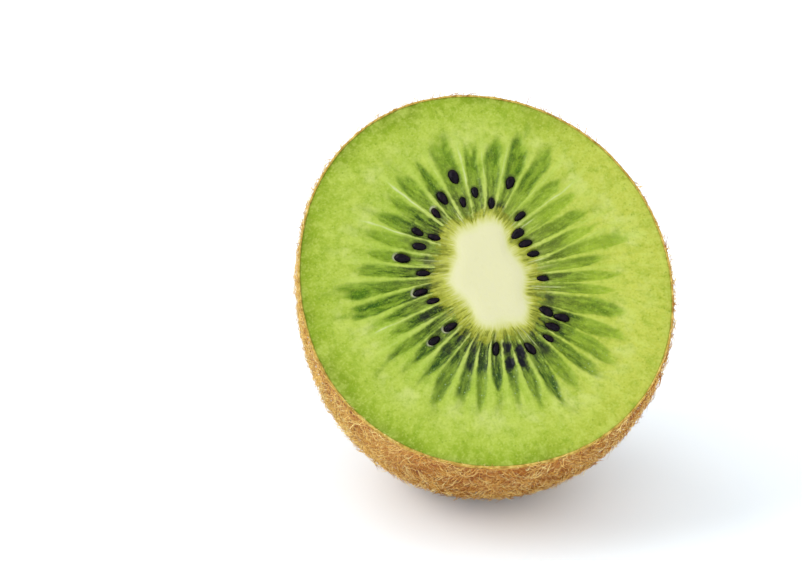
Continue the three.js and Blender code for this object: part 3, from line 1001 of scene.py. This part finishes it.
seed_tree, taken, given = new_group(
    "seeds_in_place", "GeometryNodeTree",
    {**GEOMETRY, "Length": (FLOAT, SEED_LENGTH * MM), "Width": (FLOAT, SEED_WIDTH * MM),
     "Height": (FLOAT, SEED_HEIGHT * MM), "Taper": (FLOAT, SEED_TAPER), "Tilt": (FLOAT, SEED_TILT),
     "Pits": (FLOAT, SEED_PITS * MM), "Seed": (INTEGER, 4), "Material": ("NodeSocketMaterial", None)},
    GEOMETRY)
tree = seed_tree
ball = feed("GeometryNodeMeshUVSphere", {"Segments": 20, "Rings": 14, "Radius": 0.5})[0]
where = position()
ahead, aside, upward = parts_of(where)
narrowing = work_out("MULTIPLY_ADD", ahead, taken["Taper"], 1.0)
shaped = vector_of(times(ahead, taken["Length"]), times(times(aside, narrowing), taken["Width"]),
                   times(times(upward, narrowing), taken["Height"]))
drop_shape = feed("GeometryNodeSetPosition", {"Geometry": ball, "Position": shaped})[0]
tilt_x, tilt_y, _ = parts_of(scaled(any_way(taken["Seed"]), taken["Tilt"]))
turn = vector_of(tilt_x, tilt_y, named("heading"))
facing = feed("FunctionNodeEulerToRotation", {0: turn})[0]
growth = named("growth")
slim = times(growth, any_number(0.82, 1.15, taken["Seed"]))
placed = feed("GeometryNodeInstanceOnPoints",
              {"Points": taken["Geometry"], "Instance": drop_shape, "Rotation": facing,
               "Scale": vector_of(growth, slim, growth)})[0]
real = made_real(placed)
pits = minus(noise(scaled(where, 1 / MM), 0.45, 3, 0.6), 0.6)
dents = times(pits, times(taken["Pits"], 4.0))
real = moved(real, scaled(feed("GeometryNodeInputNormal")[0], dents))
finish_tree(real, taken, given)

material, tree, shader = new_material("kiwi_seed")
mm = object_millimetres()
mottle = noise(mm, 0.5, 3, 0.6)
coat = ramp(mottle, [(0.3, (4, 1, 7)), (0.55, (12, 4, 17)), (0.75, (38, 17, 30))])
set_inputs(shader, {
    "Base Color": coat, "Roughness": fade(mottle, 0.3, 0.7, 0.25, 0.42), "Specular IOR Level": 0.1,
    "Normal": bumped(speckle(mm, 0.2, 0.4), 0.35, -0.03)})
seeds = keep_plain(grown("seeds", seed_tree, {"Material": material}, places))
seeds.data.transform(LYING @ Matrix.Scale(1 / MM, 4))
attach(seeds, "root")


# --------------------------------------------------
# The fuzz: short stiff hairs, golden brown and matted, that cover the whole skin. Geometry nodes root
# a few kinds of bent, tapered hair all over the dome and bend each a little more.
# --------------------------------------------------

# Each kind: its number of hairs, their length and thickness, how far they stand up, how much they
# wave, their steps and a fixed seed. The rim's hairs grow only near the cut and point out over it.
FUZZ_KINDS = {
    "fuzz_under": (9000, 0.8, 0.075, 0.3, 0.1, 2, 3),
    "fuzz_short": (9000, 1.2, 0.085, 0.35, 0.15, 2, 11),
    "fuzz_long": (7000, 1.65, 0.1, 0.25, 0.3, 3, 23),
    "fuzz_curly": (5500, 1.7, 0.1, 0.23, 0.5, 4, 31),
    "fuzz_rim": (14000, 1.6, 0.07, 0.07, 0.3, 4, 41),
}
DOME_AREA = 5400.0
ROOTS_ANYWHERE = 40.0
RIM_ROOTS = 0.6
RIM_OVER_CUT = 1.6
HAIR_SHAPES = 6
LOWEST_HAIR = 0.02

fuzz_tree, taken, given = new_group(
    "fuzz", "GeometryNodeTree",
    {"Density": (FLOAT, 1.5 / MM ** 2), "Length": (FLOAT, 1.5 * MM), "Thickness": (FLOAT, 0.09 * MM),
     "Stand": (FLOAT, 0.4), "Wave": (FLOAT, 0.5 * MM), "Steps": (INTEGER, 4), "Bald End": (FLOAT, 3.1),
     "Lowest Root": (FLOAT, ROOTS_ANYWHERE), "Over The Cut": (FLOAT, 0.0),
     "Seed": (INTEGER, 1), "Material": ("NodeSocketMaterial", None)},
    GEOMETRY)
tree = fuzz_tree
dome = feed("GeometryNodeGroup", {"Around": 120, "Along": 40}, node_tree=dome_group)[0]
roots = feed("GeometryNodeDistributePointsOnFaces",
             {"Mesh": dome, "Density": taken["Density"], "Seed": taken["Seed"]})
at_end = work_out("LESS_THAN", named("from_axis"), taken["Bald End"])
too_low = work_out("GREATER_THAN", named("down"), taken["Lowest Root"])
where = scaled(position(), 1 / MM)


def vectors(operation, first, second):
    return feed("ShaderNodeVectorMath", {0: first, 1: second}, operation=operation)["Vector"]


def swaying(where, scale):
    """A vector that drifts smoothly from place to place."""
    drift = feed("ShaderNodeTexNoise", {"Vector": where, "Scale": scale, "Detail": 1.0})["Color"]
    return vectors("SUBTRACT", drift, (0.5, 0.5, 0.5))


swirl = scaled(swaying(where, 0.28), 5.0)
stray = vectors("ADD", swirl, any_way(taken["Seed"]))
heading = vectors("ADD", stray, scaled(face_normal, taken["Over The Cut"]))
turned_to = feed("FunctionNodeAxesToRotation", {0: roots["Normal"], 1: heading},
                 primary_axis="Z", secondary_axis="X")[0]
left = feed("GeometryNodeDeleteGeometry",
            {"Geometry": roots["Points"], "Selection": work_out("MAXIMUM", at_end, too_low)})[0]
rooted = kept(left, "tone", any_number(0.0, 1.0, taken["Seed"]))
profile = feed("GeometryNodeCurvePrimitiveCircle", {"Resolution": 3, "Radius": 0.5})[0]
shapes = tree.nodes.new("GeometryNodeJoinGeometry")
for kind in range(HAIR_SHAPES):
    side = draw(kind + 1, -1, 1)
    curl = draw(kind + 7, -1, 1)
    rise = draw(kind + 13, 0.5, 1.3)
    stand = times(taken["Stand"], rise)
    handles = [
        (0.0, 0.0, -0.08), (0.3, 0.1 * side, times(stand, 0.9)), (0.62, 0.5 * side, times(stand, 1.25)),
        (0.85, 0.4 * side + 0.35 * curl, times(stand, 0.9 + 0.5 * curl))]
    ends = [scaled(vector_of(*handle), taken["Length"]) for handle in handles]
    hair = feed("GeometryNodeCurvePrimitiveBezierSegment",
                {0: taken["Steps"], **dict(enumerate(ends, 1))})[0]
    along = feed("GeometryNodeSplineParameter")[0]
    hair = kept(hair, "along", along)
    thick = times(taken["Thickness"], fade(along, 0.2, 1.0, 1.0, 0.25))
    hair = feed("GeometryNodeCurveToMesh",
                {"Curve": hair, "Profile Curve": profile, "Scale": thick, "Fill Caps": True})[0]
    hair = feed("GeometryNodeGeometryToInstance", {0: hair})[0]
    tree.links.new(hair, shapes.inputs[0])
shape_range = {4: 0, 5: HAIR_SHAPES - 1, "Seed": 77}
any_shape = feed("FunctionNodeRandomValue", shape_range, data_type="INT")[2]
growth = any_number(0.65, 1.3, 78)
placed = feed("GeometryNodeInstanceOnPoints",
              {"Points": rooted, "Instance": shapes.outputs[0], "Pick Instance": True,
               "Instance Index": any_shape, "Rotation": turned_to,
               "Scale": vector_of(growth, growth, growth)})[0]
real = made_real(placed)
bent = times(work_out("POWER", named("along"), 2.0), times(taken["Wave"], 4.0))
real = moved(real, scaled(swaying(where, 0.9), bent))
finish_tree(above_table(real, LOWEST_HAIR * MM), taken, given)

material, tree, shader = new_material("kiwi_fuzz")
mm = object_millimetres()
strand = ramp(marked("tone"), [
    (0.0, (140, 76, 22)), (0.3, (200, 132, 48)), (0.6, (242, 198, 102)), (1.0, (254, 237, 166))])
strand = blend(fade(marked("along"), 0.0, 0.4, 0.5, 0.0), strand, colour(186, 112, 50))
# Hairs on the left side are painted lighter golden: painted light falling from the left.
strand = layered(strand, [(parts_of(mm)[0], -8, -22, 0.35, (252, 226, 132))])
set_inputs(shader, {
    "Base Color": strand, "Roughness": fade(noise(mm, 3.0), 0.3, 0.7, 0.45, 0.65),
    "Specular IOR Level": 0.2})

for name, (hairs, length, thickness, standing, wave, steps, seed) in FUZZ_KINDS.items():
    at_rim = name == "fuzz_rim"
    fuzz = keep_plain(grown(name, fuzz_tree, {
        "Density": hairs / (DOME_AREA * MM ** 2), "Length": length * MM, "Thickness": thickness * MM,
        "Stand": standing, "Wave": wave * MM, "Steps": steps, "Seed": seed, "Material": material,
        "Lowest Root": RIM_ROOTS if at_rim else ROOTS_ANYWHERE,
        "Over The Cut": RIM_OVER_CUT if at_rim else 0.0}))
    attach(fuzz, "root")


# --------------------------------------------------
# The table, the light and the camera.
# --------------------------------------------------

TABLE_SIZE = 3.0
CAMERA_AZIMUTH = math.radians(-3.9)
CAMERA_ELEVATION = math.radians(21.2)
CAMERA_DISTANCE = 0.45
CAMERA_LENS = 156.3
FACE_RIGHT_OF_MIDDLE = 10.8 * MM
FACE_ABOVE_MIDDLE = 0.23 * MM

half = TABLE_SIZE / 2
corners = [(-half, -half, 0), (half, -half, 0), (half, half, 0), (-half, half, 0)]
floor_mesh = bpy.data.meshes.new("table")
floor_mesh.from_pydata(corners, [], [(0, 1, 2, 3)])
floor = add_object("table", floor_mesh)
material, tree, shader = new_material("table_white")
set_inputs(shader, {
    "Base Color": (0.93, 0.96, 0.98, 1), "Roughness": 0.7, "Emission Color": (0.58, 0.83, 1, 1),
    "Emission Strength": 0.11})
floor_mesh.materials.append(material)

back = Vector((math.sin(CAMERA_AZIMUTH) * math.cos(CAMERA_ELEVATION),
               -math.cos(CAMERA_AZIMUTH) * math.cos(CAMERA_ELEVATION), math.sin(CAMERA_ELEVATION)))
right = Vector((math.cos(CAMERA_AZIMUTH), math.sin(CAMERA_AZIMUTH), 0))
up = back.cross(right)
camera = add_object("camera", bpy.data.cameras.new("camera"))
camera.data.lens = CAMERA_LENS
axes = Matrix((right, up, back)).transposed().to_4x4()
stand = LYING.translation - FACE_RIGHT_OF_MIDDLE * right - FACE_ABOVE_MIDDLE * up + CAMERA_DISTANCE * back
camera.matrix_world = Matrix.Translation(stand) @ axes
bpy.context.scene.camera = camera

world = bpy.data.worlds.new("studio")
bpy.context.scene.world = world
world.use_nodes = True
sky = {"Color": (0.93, 0.97, 1, 1), "Strength": 0.85}
set_inputs(world.node_tree.nodes["Background"], sky)
bpy.context.scene.view_settings.view_transform = "Standard"


def big_light(name, azimuth, elevation, strength, spread):
    """A broad, distant studio light. Azimuth turns clockwise from the front, seen from above."""
    light = bpy.data.lights.new(name, "SUN")
    light.energy = strength
    light.angle = math.radians(spread)
    lamp = add_object(name, light)
    lamp.rotation_euler = (math.radians(90 - elevation), 0, math.radians(-azimuth))


big_light("left", 80, 35, 1.3, 35)
big_light("front", 0, 28, 0.6, 50)
big_light("right", -62, 45, 0.35, 45)
big_light("behind", 125, 45, 0.6, 45)
